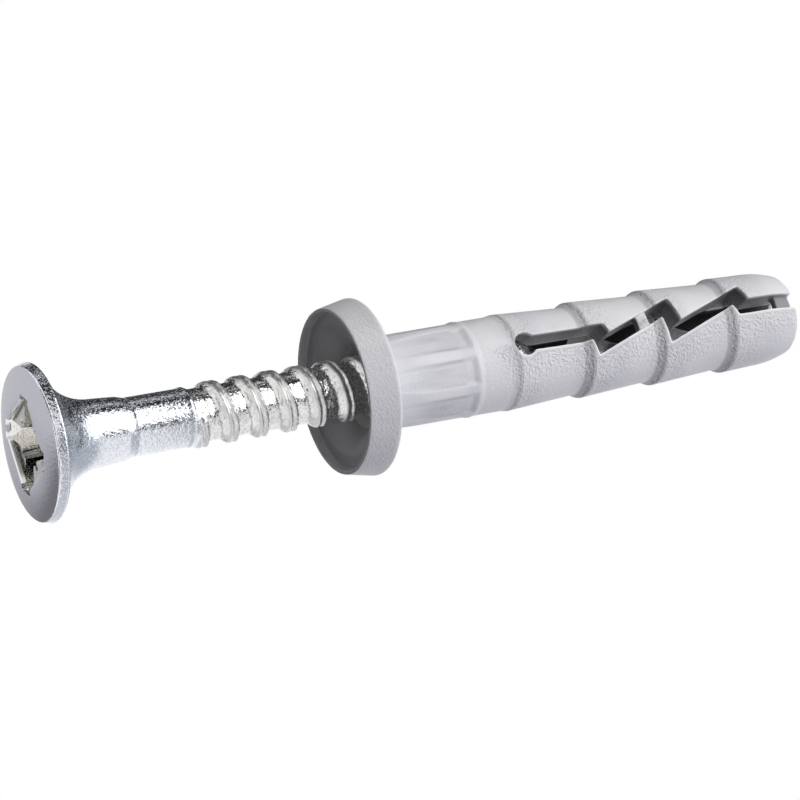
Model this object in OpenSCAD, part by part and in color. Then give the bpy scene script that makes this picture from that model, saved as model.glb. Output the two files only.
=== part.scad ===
// Hammer fixing plug: a moulded expansion sleeve with a countersunk drive screw part-way in.
// The plug stands on the flat middle of the screw's head: +Z runs along the axis from the head to the
// sleeve's tip, and the origin is the centre of the head's face. All sizes are in millimetres.

/* [Screw head] */
// Diameter of the head
head_d = 9.5; // [8.8:0.1:10]
// Diameter of the flat middle of the head's face
crown_d = 5; // [4.8:0.1:5.4]
// How far the face falls away from its flat middle to the rim
crown_fall = 0.3; // [0.1:0.05:0.4]
// Thickness of the head's upright rim
rim_t = 0.7; // [0.5:0.05:0.9]
// Rounding of the rim's two edges
rim_edge_r = 0.15; // [0.05:0.05:0.25]
// Radius of the hollow flare that runs from the head into the shank
flare_r = 3.4; // [2.4:0.1:4]
// Angle of the flare to the axis where it leaves the rim
flare_angle = 60; // [50:1:66]

/* [Screw shank] */
// Length of the screw over all
screw_len = 33.7; // [32:0.1:35]
// Diameter where the flare ends
swell_d = 4.05; // [3.95:0.05:4.3]
// Diameter at the far end of the swell
swell_end_d = 3.82; // [3.72:0.02:4]
// Place of the swell's far end, from the head's face
swell_end_at = 5.9; // [5.4:0.1:6.4]
// Length of the step from the swell down to the shank
swell_step = 0.5; // [0.3:0.1:1.2]
// Diameter of the plain shank
shank_d = 3.53; // [3.45:0.01:3.7]
// Place of the plain shank's end, from the head's face
shank_end_at = 10; // [9:0.05:10.8]
// Height of the rolled lip at the plain shank's end
lip_h = 0.06; // [0.02:0.01:0.1]
// Length of the tapered tip
tip_len = 1.6; // [1.2:0.1:2]
// Diameter of the blunt end of the tip
tip_d = 1; // [0.6:0.1:1.4]

/* [Screw thread] */
// Diameter over the thread
thread_d = 3.88; // [3.75:0.01:4.1]
// Diameter at the root of the thread
root_d = 3.25; // [3.1:0.05:3.4]
// Distance from turn to turn
thread_pitch = 1.92; // [1.7:0.01:2.3]
// Width of the thread's crest
crest_w = 0.5; // [0.3:0.05:0.6]
// Length along the axis of the thread's long flank, on the head's side
front_flank = 0.85; // [0.6:0.05:0.9]
// Length along the axis of the thread's steep flank, on the tip's side
back_flank = 0.25; // [0.15:0.05:0.35]
// Place of the thread's first turn after the plain shank's end
thread_run_in = 0.4; // [0.2:0.05:0.8]
// Turn of the thread's start about the axis
thread_turn = 279; // [0:1:359]

/* [Cross recess] */
// Width over the cross at the head's face
recess_span = 6; // [4.8:0.1:6.2]
// Depth of the cross
recess_depth = 2.3; // [1.8:0.1:2.6]
// Width of each wing
wing_w = 1.2; // [0.8:0.05:1.3]
// Slope of the wings' outer ends to the axis
wing_angle = 26.5; // [22:0.5:30]
// Diameter of the hollow between the wings
core_d = 2.7; // [2.2:0.1:2.8]
// Width over the small notches between the wings
notch_span = 3.6; // [3.2:0.1:4]
// Width of the small notches
notch_w = 0.35; // [0.2:0.05:0.5]
// Side of the shallow square step round the cross
step_side = 4.6; // [4:0.1:4.7]
// Diameter that the step's corners are cut to
step_span = 6; // [5:0.1:6.2]
// Depth of the square step
step_depth = 0.3; // [0.15:0.05:0.4]
// Turn of the cross about the axis
recess_turn = 42; // [0:1:90]

/* [Collar] */
// Thickness of the collar along the axis
collar_t = 2; // [1.7:0.05:2.3]
// How far the collar's back rim stands out past its front rim
collar_flare = 0.36; // [0.2:0.02:0.8]
// Rounding of the collar's back rim
collar_edge_r = 0.2; // [0.15:0.05:0.5]
// Wall of the collar at its front lip
lip_wall = 0.22; // [0.1:0.01:0.3]
// Depth of the upright wall inside the lip, which takes the head's rim
cup_step = 0.5; // [0.3:0.05:0.7]
// Rounding between the collar's underside and the neck
collar_fillet = 0.23; // [0.2:0.01:0.4]

/* [Neck] */
// Diameter of the neck behind the collar
neck_d = 5.68; // [5.4:0.02:5.76]
// Draft of the neck: how much its radius grows up to the ring
neck_draft = 0.02; // [0.01:0.01:0.06]
// Diameter of the ring that ends the ribbed neck
ring_d = 5.96; // [5.86:0.01:6]
// Place of the ring, from the collar's underside
ring_at = 6.5; // [6:0.1:7]
// Length of the step from the neck up to the ring
ring_step = 0.4; // [0.2:0.05:0.8]
// Length of the bevel from the ring down to the plain band
ring_bevel = 0.35; // [0.1:0.05:0.5]
// Diameter of the plain band behind the ring
band_d = 5.84; // [5.6:0.02:5.9]
// Number of ribs that keep the sleeve from turning
rib_count = 8; // [4:1:10]
// Width of a rib's land
rib_w = 0.48; // [0.3:0.02:0.6]
// Width of a rib's sloping flank
rib_flank = 0.22; // [0.2:0.02:0.5]
// Place where the ribs begin to rise, from the collar's underside
rib_from = 0.9; // [0.5:0.1:1.5]
// Length over which the ribs rise
rib_rise = 1.6; // [1:0.1:2]
// Draft of the ribs: how much they still rise from there to the ring
rib_draft = 0.02; // [0.01:0.01:0.04]

/* [Expansion sleeve] */
// Diameter over the barbs, the size of the drilled hole
sleeve_d = 6; // [5.9:0.02:6.2]
// Length of the sleeve from the collar's underside to its tip
sleeve_len = 29.5; // [29:0.1:32]
// Place of the first barb's step, from the collar's underside
first_barb = 9; // [8.8:0.1:9.4]
// Distance from barb to barb
barb_pitch = 5.1; // [4.8:0.05:5.4]
// Number of barbs
barb_count = 4; // [3:1:4]
// How far a barb tapers before the next one
barb_depth = 0.27; // [0.1:0.01:0.3]
// Length of each barb's step
barb_rise = 0.5; // [0.3:0.05:0.7]
// How far the last barb tapers before the rounded tip
last_taper = 0.09; // [0.02:0.01:0.14]
// Length of the rounded tip
nose_len = 2.7; // [2:0.1:3.4]
// Radius of the curve that rounds the tip
nose_r = 7; // [5.5:0.1:10]
// Rounding of the tip's end edge
nose_edge_r = 0.3; // [0.1:0.05:0.5]

/* [Expansion slots] */
// Width of the slots
slot_w = 0.94; // [0.7:0.02:1.1]
// Diameter of the round end of each slot
keyhole_d = 1.45; // [1.15:0.05:1.6]
// Place of the round end, from the collar's underside
keyhole_at = 9.95; // [9.7:0.05:10.4]
// How far each tooth of the zigzag starts below the slot's middle
tooth_low = 0.95; // [0.6:0.05:1.1]
// How far each tooth of the zigzag ends above the slot's middle
tooth_high = 0.68; // [0.4:0.02:0.8]
// Place of each tooth's end after its barb's step
tooth_after_barb = 0.4; // [0.3:0.05:0.8]
// Gap along the axis between the teeth of the two legs
tooth_gap = 0.95; // [0.7:0.05:1.1]
// Lean of each tooth's end along the axis
tooth_lean = 0.3; // [0.1:0.05:0.5]
// Length along the axis of each thin web that ties the two legs together
web_len = 0.8; // [0.5:0.05:1]
// Thickness of the webs
web_t = 0.6; // [0.4:0.05:0.8]
// Depth of the webs under the barbs' diameter
web_sink = 0.45; // [0.35:0.05:0.6]
// Place of the first pair of webs before the end of its tooth
web_before_tooth = 1.2; // [0.9:0.1:1.8]
// Length along the axis of the webs at the tip
tip_web_len = 1.2; // [0.8:0.1:1.4]

/* [Fits] */
// How far the screw stands out of the collar before it is driven in
screw_out = 19.9; // [19:0.1:20.6]
// How far the head's face stands proud of the lip once it is driven home
head_proud = 0.85; // [0.75:0.05:1]
// Clearance round the head when it is driven home into the collar
head_clearance = 0.1; // [0.05:0.01:0.2]
// Clearance between the swell and the mouth of the bore
mouth_clearance = 0.05; // [0.03:0.01:0.1]
// Clearance between the thread and the bore that grips it
grip_clearance = 0.035; // [0.02:0.005:0.06]
// Clearance between the screw's tip and the taper that stops it
seat_clearance = 0.03; // [0.02:0.005:0.06]
// Diameter of the bore between the two legs
leg_bore_d = 1.8; // [1.5:0.05:2]

/* [Hidden] */
$fn = 96;

// Overlap of joined solids and overrun of cuts
join = 0.2;
overrun = 1;
// Steps of a quarter of a rounded edge, and of a long curve
edge_steps = 6;
curve_steps = 14;
// Steps of the thread: rings to a turn, and rings over which it fades in and out
rings_to_turn = 20;
fade_rings = 5;

// Heights above the head's face
lip_z = screw_out;
underside_z = lip_z + collar_t;
tip_z = underside_z + sleeve_len;
screw_tip_z = screw_len - tip_len;

// Points on a circle's arc, from angle a0 to angle a1
function arc(centre, r, a0, a1, steps) =
    [for (i = [0 : steps]) centre + r * [cos(a0 + (a1 - a0) * i / steps), sin(a0 + (a1 - a0) * i / steps)]];

// Hollow flare under a head of radius rim_r whose rim ends at height z: an arc into the shank of radius
// neck_r and a straight run out to the rim, listed from the rim inwards
least_run = 0.05;
flare_share = 1 - cos(flare_angle);
function flare_arc(rim_r, neck_r) = min(flare_r, (rim_r - neck_r - least_run) / flare_share);
function flare_height(rim_r, neck_r) =
    let (r = flare_arc(rim_r, neck_r))
    r * sin(flare_angle) + (rim_r - neck_r - r * flare_share) / tan(flare_angle);
function flare(rim_r, neck_r, z) =
    let (r = flare_arc(rim_r, neck_r))
    concat(
        [[rim_r, z]],
        arc([neck_r + r, z + flare_height(rim_r, neck_r)], r, 180 + flare_angle, 180, curve_steps)
    );

// Screw

rim_r = head_d / 2;
flare_rim_r = rim_r - rim_edge_r;
flare_from = crown_fall + rim_t;
crown_reach = flare_rim_r - crown_d / 2;
crown_r = (crown_reach ^ 2 + (crown_fall + rim_edge_r) ^ 2 - rim_edge_r ^ 2) / (2 * crown_fall);
crown_angle = asin(crown_reach / (crown_r - rim_edge_r));
lip_len = 0.15;
lip_fall = 0.35;
root_z = shank_end_at + lip_len + lip_fall;

// Half section of the turned screw, without its thread
function screw_section() =
    concat(
        [[0, 0]],
        arc([crown_d / 2, crown_r], crown_r, -90, crown_angle - 90, curve_steps),
        arc([flare_rim_r, crown_fall + rim_edge_r], rim_edge_r, crown_angle - 90, 0, edge_steps),
        arc([flare_rim_r, flare_from - rim_edge_r], rim_edge_r, 0, 90, edge_steps),
        flare(flare_rim_r, swell_d / 2, flare_from),
        [
            [swell_end_d / 2, swell_end_at],
            [shank_d / 2, swell_end_at + swell_step],
            [shank_d / 2, shank_end_at - lip_len],
            [shank_d / 2 + lip_h, shank_end_at],
            [shank_d / 2 + lip_h, shank_end_at + lip_len],
            [root_d / 2, root_z],
            [root_d / 2, screw_tip_z],
            [tip_d / 2, screw_len],
            [0, screw_len]
        ]
    );

// Helical ridge of the thread, rooted inside the screw's core
thread_from = shank_end_at + thread_run_in;
thread_turns = (screw_tip_z - crest_w / 2 - back_flank - thread_from) / thread_pitch;
thread_rings = floor(thread_turns * rings_to_turn);
thread_foot_r = root_d / 2 - join;
function thread_fade(i) = max(0.1, min(1, i / fade_rings, (thread_rings - i) / fade_rings));
function thread_ring(i) =
    let (
        turn = thread_turn + 360 * i / rings_to_turn,
        z = thread_from + thread_pitch * i / rings_to_turn,
        top = thread_foot_r + (thread_d / 2 - thread_foot_r) * thread_fade(i)
    )
    [for (p = [[thread_foot_r, -crest_w / 2 - front_flank], [top, -crest_w / 2], [top, crest_w / 2],
               [thread_foot_r, crest_w / 2 + back_flank]])
        [p[0] * cos(turn), p[0] * sin(turn), z + p[1]]];

module thread() {
    sides = 4;
    points = [for (i = [0 : thread_rings]) each thread_ring(i)];
    walls = [for (i = [0 : thread_rings - 1], k = [0 : sides - 1])
        let (a = i * sides + k, b = i * sides + (k + 1) % sides)
        each [[a, b, b + sides], [a, b + sides, a + sides]]];
    first_cap = [[for (k = [sides - 1 : -1 : 0]) k]];
    last_cap = [[for (k = [0 : sides - 1]) thread_rings * sides + k]];
    polyhedron(points, concat(first_cap, walls, last_cap), convexity = 10);
}

// Cone that the ends of a cross of the given span lie on
module cross_cone(span) {
    top_r = span / 2;
    cylinder(r1 = top_r, r2 = top_r - recess_depth * tan(wing_angle), h = recess_depth);
    translate([0, 0, -overrun]) cylinder(r = top_r, h = overrun + join / 4);
}

module cross_bars(span, width) {
    for (turn = [0, 90])
        rotate(turn)
            translate([-span, -width / 2, -overrun])
                cube([2 * span, width, recess_depth + overrun]);
}

// Hollow that the driver fills: four tapered wings, four small notches between them, a pointed core and
// a shallow square step round the mouth
module cross_recess() {
    core_taper = 0.25;
    intersection() {
        translate([0, 0, -overrun]) cylinder(d = step_span, h = 2 * overrun);
        rotate(45)
            translate([-step_side / 2, -step_side / 2, -overrun])
                cube([step_side, step_side, overrun + step_depth]);
    }
    intersection() {
        cross_cone(recess_span);
        cross_bars(recess_span, wing_w);
    }
    intersection() {
        cross_cone(notch_span);
        rotate(45) cross_bars(notch_span, notch_w);
    }
    cylinder(d1 = core_d, d2 = core_d - 2 * core_taper, h = recess_depth);
    translate([0, 0, -overrun]) cylinder(d = core_d, h = overrun + join / 4);
    translate([0, 0, recess_depth])
        cylinder(d1 = core_d - 2 * core_taper, d2 = 0.2, h = core_d / 4);
}

module drive_screw() {
    color("#c4c7cc") {
        difference() {
            rotate_extrude() polygon(screw_section());
            rotate(recess_turn) cross_recess();
        }
        thread();
    }
}

// Sleeve

crest_r = sleeve_d / 2;
trough_r = crest_r - barb_depth;
neck_r = neck_d / 2;
cup_r = rim_r + head_clearance;
lip_r = cup_r + lip_wall;
collar_r = lip_r + collar_flare;
last_barb = first_barb + (barb_count - 1) * barb_pitch;
nose_at = sleeve_len - nose_len;
nose_drop = nose_r - sqrt(nose_r * nose_r - nose_len * nose_len);
nose_start_r = crest_r - last_taper;
nose_end_r = nose_start_r - nose_drop;

// Half section of the outside, from the lip to the tip, as [radius, height above the underside]
function barb(k) =
    let (step = first_barb + k * barb_pitch)
    [[k == 0 ? band_d / 2 : trough_r, step - barb_rise / 2], [crest_r, step + barb_rise / 2]];

function sleeve_outside() =
    concat(
        [[lip_r, -collar_t]],
        arc([collar_r - collar_edge_r, -collar_edge_r], collar_edge_r, 0, 90, edge_steps),
        arc([neck_r + collar_fillet, collar_fillet], collar_fillet, 270, 180, edge_steps),
        [
            [neck_r + neck_draft, ring_at - ring_step],
            [ring_d / 2, ring_at],
            [band_d / 2, ring_at + ring_bevel]
        ],
        [for (k = [0 : barb_count - 1]) each barb(k)],
        arc([nose_start_r - nose_r, nose_at], nose_r, 0, asin((nose_len - nose_edge_r) / nose_r), curve_steps),
        arc([nose_end_r - nose_edge_r, sleeve_len - nose_edge_r], nose_edge_r, 20, 90, edge_steps)
    );

// Half section of the cup and bore, as [radius, height above the underside]: the cup has an upright
// wall and a flat ledge round a bowl that takes the head's flare, the mouth takes the swell, the bore
// grips the thread, and a taper stops the tip
mouth_r = swell_d / 2 + mouth_clearance;
grip_r = thread_d / 2 + grip_clearance;
leg_r = leg_bore_d / 2;
mouth_end = swell_end_at + swell_step - collar_t - head_proud;
grip_from = mouth_end + (mouth_r - grip_r);
tip_slope = tip_len / ((root_d - tip_d) / 2);
taper_from = screw_tip_z - underside_z + seat_clearance - (grip_r - root_d / 2) * tip_slope;
taper_end = taper_from + (grip_r - leg_r) * tip_slope;
cup_floor = cup_step - collar_t;
bowl_from = flare_from - head_proud - collar_t;
bowl_r = flare_rim_r - (cup_floor - bowl_from) * tan(flare_angle);

function sleeve_hollow() =
    concat(
        [[0, -collar_t - overrun], [cup_r, -collar_t - overrun], [cup_r, cup_floor]],
        flare(bowl_r, mouth_r, cup_floor),
        [
            [mouth_r, mouth_end],
            [grip_r, grip_from],
            [grip_r, taper_from],
            [leg_r, taper_end],
            [leg_r, sleeve_len + overrun],
            [0, sleeve_len + overrun]
        ]
    );

// Long ribs of the neck: straight-sided bars, cut to a rising envelope that ends at the ring
module neck_ribs() {
    land_r = ring_d / 2;
    land = rib_w / 2;
    foot_r = neck_r - join;
    foot = land + (land_r - foot_r) * rib_flank / (land_r - neck_r);
    top_r = land_r + join;
    intersection() {
        for (k = [0 : rib_count - 1])
            rotate(270 + 360 * k / rib_count)
                linear_extrude(ring_at)
                    polygon([[foot_r, -foot], [land_r, -land], [top_r, -land],
                             [top_r, land], [land_r, land], [foot_r, foot]]);
        rotate_extrude()
            polygon([[foot_r, 0], [neck_r, 0], [neck_r, rib_from], [land_r - rib_draft, rib_from + rib_rise],
                     [land_r, ring_at], [foot_r, ring_at]]);
    }
}

// Outline of the zigzag slot, as [across, along]: two straight stretches with sloping teeth between them.
// The far edge follows the near edge, a slot's width across and a tooth's gap along.
tooth_count = barb_count - 2;
tooth_slope = (tooth_low + tooth_high) / (barb_pitch - tooth_lean);
tooth_shift = tooth_slope * tooth_gap;
function tooth_end(k) = first_barb + (k + 1) * barb_pitch + tooth_after_barb;
function slot_edge(across, delay, rise) =
    concat(
        [[across, keyhole_at], [across, tooth_end(0) + delay]],
        [for (k = [0 : tooth_count - 1]) each [
            [across - tooth_low + rise, tooth_end(k) + delay + tooth_lean],
            [across + tooth_high + rise, tooth_end(k + 1) + delay]
        ]],
        [
            [across, tooth_end(tooth_count) + delay + tooth_lean],
            [across, sleeve_len + overrun]
        ]
    );
function reversed(list) = [for (i = [len(list) - 1 : -1 : 0]) list[i]];
function slot_outline() =
    concat(slot_edge(-slot_w / 2, 0, 0), reversed(slot_edge(slot_w / 2, tooth_gap, tooth_shift)));

// Each side of the sleeve has its slot as far as the middle, and half a turn brings one onto the other
module expansion_slots() {
    for (turn = [0, 180])
        rotate(turn)
            rotate([90, 0, 0])
                linear_extrude(collar_r)
                    mirror([1, 0]) {
                        polygon(slot_outline());
                        translate([0, keyhole_at]) circle(d = keyhole_d);
                    }
}

// Thin webs across the slots, set under the surface, which tear when the screw is driven in
module leg_webs() {
    reach = tooth_low + tooth_high + slot_w;
    web_r = crest_r - web_sink;
    first_at = tooth_end(1) - web_before_tooth;
    intersection() {
        for (span = [[first_at - web_len / 2, web_len], [sleeve_len - join - tip_web_len, tip_web_len]])
            translate([-reach / 2, -crest_r, span[0]])
                cube([reach, sleeve_d, span[1]]);
        rotate_extrude()
            polygon([[web_r - web_t, 0], [web_r, 0], [web_r, nose_at], [nose_end_r - web_sink, sleeve_len],
                     [nose_end_r - web_sink - web_t, sleeve_len], [web_r - web_t, nose_at]]);
    }
}

module plug_sleeve() {
    color("#b4b5b9")
        translate([0, 0, underside_z]) {
            difference() {
                union() {
                    rotate_extrude()
                        polygon(concat([[0, -collar_t]], sleeve_outside(), [[0, sleeve_len]]));
                    neck_ribs();
                }
                rotate_extrude() polygon(sleeve_hollow());
                expansion_slots();
            }
            leg_webs();
        }
}

plug_sleeve();
drive_screw();
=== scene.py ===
import math

import bpy
import numpy as np
from mathutils import Matrix, Vector


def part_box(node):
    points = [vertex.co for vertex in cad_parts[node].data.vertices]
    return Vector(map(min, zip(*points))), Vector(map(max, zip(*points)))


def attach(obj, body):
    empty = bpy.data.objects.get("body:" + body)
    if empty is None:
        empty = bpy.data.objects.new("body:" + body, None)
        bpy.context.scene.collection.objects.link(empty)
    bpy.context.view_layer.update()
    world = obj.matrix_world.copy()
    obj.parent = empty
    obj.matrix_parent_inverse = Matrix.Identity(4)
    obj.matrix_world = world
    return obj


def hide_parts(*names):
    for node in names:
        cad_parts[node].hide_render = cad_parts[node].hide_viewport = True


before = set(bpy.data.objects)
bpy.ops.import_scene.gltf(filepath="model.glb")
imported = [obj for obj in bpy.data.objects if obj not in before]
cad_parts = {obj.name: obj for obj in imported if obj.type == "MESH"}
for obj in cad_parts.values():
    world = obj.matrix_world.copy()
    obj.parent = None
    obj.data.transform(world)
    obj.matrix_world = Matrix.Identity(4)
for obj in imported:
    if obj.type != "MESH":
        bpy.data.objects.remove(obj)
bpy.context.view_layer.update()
mm = 0.001
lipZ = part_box("plug_sleeve")[0].z / mm  # height of the collar's front lip above the head's face
print("frame loaded, lip at", round(lipZ, 2), "mm")


# Handling of pieces: they are modelled in millimetres and brought to metres when they are done

def deselectAll():
    if bpy.context.object and bpy.context.object.mode != "OBJECT":
        bpy.ops.object.mode_set(mode="OBJECT")
    bpy.ops.object.select_all(action="DESELECT")


def takeHold(piece):
    deselectAll()
    piece.select_set(True)
    bpy.context.view_layer.objects.active = piece


def applyModifier(piece, kind, **values):
    takeHold(piece)
    modifier = piece.modifiers.new(kind, kind)
    for name, value in values.items():
        setattr(modifier, name, value)
    bpy.ops.object.modifier_apply(modifier=modifier.name)


def toMetres(piece):
    takeHold(piece)
    piece.scale = (mm, mm, mm)
    bpy.ops.object.transform_apply(location=False, rotation=False, scale=True)


def points(piece):
    flat = np.zeros(len(piece.data.vertices) * 3)
    piece.data.vertices.foreach_get("co", flat)
    return flat.reshape(-1, 3)


def setPoints(piece, places):
    piece.data.vertices.foreach_set("co", places.ravel())
    piece.data.update()


def setAttribute(piece, name, values):
    attribute = piece.data.attributes.new(name, "FLOAT", "POINT")
    attribute.data.foreach_set("value", values.astype(np.float32))


def arcPoints(centre, radius, fromAngle, toAngle, steps):
    angles = [math.radians(fromAngle + (toAngle - fromAngle) * i / steps) for i in range(steps + 1)]
    return [(centre[0] + radius * math.cos(a), centre[1] + radius * math.sin(a)) for a in angles]


def smoothStep(low, high, values):
    share = np.clip((values - low) / (high - low), 0, 1)
    return share * share * (3 - 2 * share)


# Camera: the photo's view, found from the ellipses of the head and collar and the sleeve's edges

photoView = {
    "side": 800,  # pixels
    "focal": 3800,  # pixels
    "lipPixel": (333.5, 391.68),  # where the centre of the collar's lip lies
    "lipDistance": 228.58,  # mm from the camera, along its view
    "yaw": 24.97,  # turn of the plug's axis away from the camera
    "tilt": 9.97,  # climb of the axis in the picture
    "slotTurn": 18,  # the camera stands this far round from the middle of a slot
    "sensor": 36,
    "clip": (0.001, 10),  # m
}


def axesOfPlug():
    turn = math.radians(photoView["slotTurn"])
    toward = Vector((math.sin(turn), -math.cos(turn), 0))  # square to the axis, on the camera's side
    axis = Vector((0, 0, 1))
    return toward, toward.cross(axis), axis


toward, sideUp, axis = axesOfPlug()


def aroundPlug(turn, height, radius):
    # Turn is counted from the camera's side towards the top of the picture
    angle = math.radians(turn)
    place = (toward * math.cos(angle) + sideUp * math.sin(angle)) * radius + axis * height
    return place * mm


def makeCamera():
    yaw = math.radians(photoView["yaw"])
    tilt = math.radians(photoView["tilt"])
    seenAxis = Vector((math.cos(yaw) * math.cos(tilt), math.cos(yaw) * math.sin(tilt), -math.sin(yaw)))
    back = Vector((0, 0, 1))
    seenToward = (back - seenAxis * back.dot(seenAxis)).normalized()
    seenSide = seenToward.cross(seenAxis)
    inWorld = Matrix((toward, sideUp, axis)).transposed()
    inCamera = Matrix((seenToward, seenSide, seenAxis))
    turn = inWorld @ inCamera
    middle = photoView["side"] / 2
    perPixel = photoView["lipDistance"] / photoView["focal"]
    lipX = (photoView["lipPixel"][0] - middle) * perPixel
    lipY = (middle - photoView["lipPixel"][1]) * perPixel
    lip = Vector((0, 0, lipZ))
    place = lip - turn @ Vector((lipX, lipY, -photoView["lipDistance"]))
    deselectAll()
    bpy.ops.object.camera_add(location=place * mm, rotation=turn.to_euler())
    camera = bpy.context.object
    camera.name = "photoCamera"
    camera.data.sensor_width = photoView["sensor"]
    camera.data.lens = photoView["sensor"] * photoView["focal"] / photoView["side"]
    camera.data.clip_start, camera.data.clip_end = photoView["clip"]
    bpy.context.scene.camera = camera
    print("camera set")


makeCamera()


# Shader helpers

def addNode(tree, kind, **values):
    node = tree.nodes.new(kind)
    for name, value in values.items():
        if name in node.inputs.keys():
            node.inputs[name].default_value = value
        else:
            setattr(node, name, value)
    return node


def math2(tree, operation, first, second, clamp=False):
    node = addNode(tree, "ShaderNodeMath", operation=operation, use_clamp=clamp)
    for socket, value in zip(node.inputs, (first, second)):
        if isinstance(value, (int, float)):
            socket.default_value = value
        else:
            tree.links.new(value, socket)
    return node.outputs[0]


def product(tree, first, *others):
    for other in others:
        first = math2(tree, "MULTIPLY", first, other)
    return first


def ramp(tree, value, low, high, toLow=0.0, toHigh=1.0):
    node = addNode(tree, "ShaderNodeMapRange", interpolation_type="SMOOTHSTEP")
    tree.links.new(value, node.inputs["Value"])
    for name, number in (("From Min", low), ("From Max", high), ("To Min", toLow), ("To Max", toHigh)):
        node.inputs[name].default_value = number
    return node.outputs["Result"]


def mixColours(tree, share, first, second, blend="MIX"):
    node = addNode(tree, "ShaderNodeMix", data_type="RGBA", blend_type=blend)
    colourInputs = [s for s in node.inputs if s.type == "RGBA"]
    factorInput = [s for s in node.inputs if s.name == "Factor" and s.type == "VALUE"][0]
    for socket, value in zip([factorInput] + colourInputs, (share, first, second)):
        if isinstance(value, (int, float, tuple)):
            socket.default_value = value
        else:
            tree.links.new(value, socket)
    return [s for s in node.outputs if s.type == "RGBA"][0]


def newMaterial(name):
    material = bpy.data.materials.new(name)
    material.use_nodes = True
    tree = material.node_tree
    surface = tree.nodes["Principled BSDF"]
    coordinates = addNode(tree, "ShaderNodeTexCoord").outputs["Object"]
    return material, tree, surface, coordinates


def splitPlace(tree, coordinates):
    # Height along the axis and distance from it, in mm, and the place square to it
    split = addNode(tree, "ShaderNodeSeparateXYZ")
    tree.links.new(coordinates, split.inputs[0])
    flat = addNode(tree, "ShaderNodeCombineXYZ")
    for name in ("X", "Y"):
        tree.links.new(split.outputs[name], flat.inputs[name])
    reach = addNode(tree, "ShaderNodeVectorMath", operation="LENGTH")
    tree.links.new(flat.outputs[0], reach.inputs[0])
    along = math2(tree, "MULTIPLY", split.outputs["Z"], 1 / mm)
    return along, math2(tree, "MULTIPLY", reach.outputs["Value"], 1 / mm), flat.outputs[0]


# Shared group: a fine bumpy grain, as height and as a slow mottle

grainShape = {
    "detail": 2.0,
    "roughness": 0.55,
    "spread": 0.6,  # of the noise's range, at full sharpness
}


def makeGrainGroup():
    group = bpy.data.node_groups.new("surfaceGrain", "ShaderNodeTree")
    group.interface.new_socket("Vector", in_out="INPUT", socket_type="NodeSocketVector")
    for name, value in (("Grain mm", 0.2), ("Mottle mm", 2.0), ("Sharpness", 0.5)):
        socket = group.interface.new_socket(name, in_out="INPUT", socket_type="NodeSocketFloat")
        socket.default_value = value
    group.interface.new_socket("Height", in_out="OUTPUT", socket_type="NodeSocketFloat")
    group.interface.new_socket("Mottle", in_out="OUTPUT", socket_type="NodeSocketFloat")
    entry = addNode(group, "NodeGroupInput")
    leave = addNode(group, "NodeGroupOutput")
    grainScale = math2(group, "DIVIDE", 1 / mm, entry.outputs["Grain mm"])
    mottleScale = math2(group, "DIVIDE", 1 / mm, entry.outputs["Mottle mm"])
    fine = addNode(group, "ShaderNodeTexNoise", Detail=grainShape["detail"],
                   Roughness=grainShape["roughness"])
    group.links.new(entry.outputs["Vector"], fine.inputs["Vector"])
    group.links.new(grainScale, fine.inputs["Scale"])
    slow = addNode(group, "ShaderNodeTexNoise", Detail=grainShape["detail"])
    group.links.new(entry.outputs["Vector"], slow.inputs["Vector"])
    group.links.new(mottleScale, slow.inputs["Scale"])
    spread = math2(group, "MULTIPLY", entry.outputs["Sharpness"], -grainShape["spread"] / 2)
    low = math2(group, "ADD", 0.5, spread)
    share = math2(group, "SUBTRACT", fine.outputs["Fac"], low)
    width = math2(group, "MULTIPLY", entry.outputs["Sharpness"], grainShape["spread"])
    height = math2(group, "DIVIDE", share, width, clamp=True)
    group.links.new(height, leave.inputs["Height"])
    group.links.new(slow.outputs["Fac"], leave.inputs["Mottle"])
    return group


grainGroup = makeGrainGroup()


def placeGrain(tree, coordinates, grain, mottle, sharpness):
    node = addNode(tree, "ShaderNodeGroup", node_tree=grainGroup)
    tree.links.new(coordinates, node.inputs["Vector"])
    node.inputs["Grain mm"].default_value = grain
    node.inputs["Mottle mm"].default_value = mottle
    node.inputs["Sharpness"].default_value = sharpness
    return node.outputs["Height"], node.outputs["Mottle"]


def placeBump(tree, height, depth, below=None):
    node = addNode(tree, "ShaderNodeBump", Strength=1.0, Distance=depth * mm)
    tree.links.new(height, node.inputs["Height"])
    if below is not None:
        tree.links.new(below, node.inputs["Normal"])
    return node.outputs["Normal"]


# Sleeve: the moulded nylon body, taken from its solid and given soft moulded edges

sleeveShape = {
    "weld": 0.0005,
    "voxel": 0.055,
    "softness": 0.5,
    "softPasses": 7,
    "triangles": 185000,
    "undersideAt": 2.0,  # collar's thickness
    "slotWidth": 0.94,
    "keyholeAt": 9.95,
    "keyholeRadius": 0.725,
    "firstBarb": 9.0,
    "barbPitch": 5.1,
    "toothLow": 0.95,
    "toothHigh": 0.68,
    "toothAfterBarb": 0.4,
    "toothGap": 0.95,
    "toothLean": 0.3,
    "teeth": 2,
    "length": 29.5,
    "roundedFrom": 25.5,  # from here to the tip the upper leg's slot edge is well rounded
    "roundedReach": 0.75,
    "roundedPasses": 18,
    "outerFrom": 2.5,  # radius beyond which a point lies on the outer skin
    "depthBand": 0.12,
}


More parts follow.
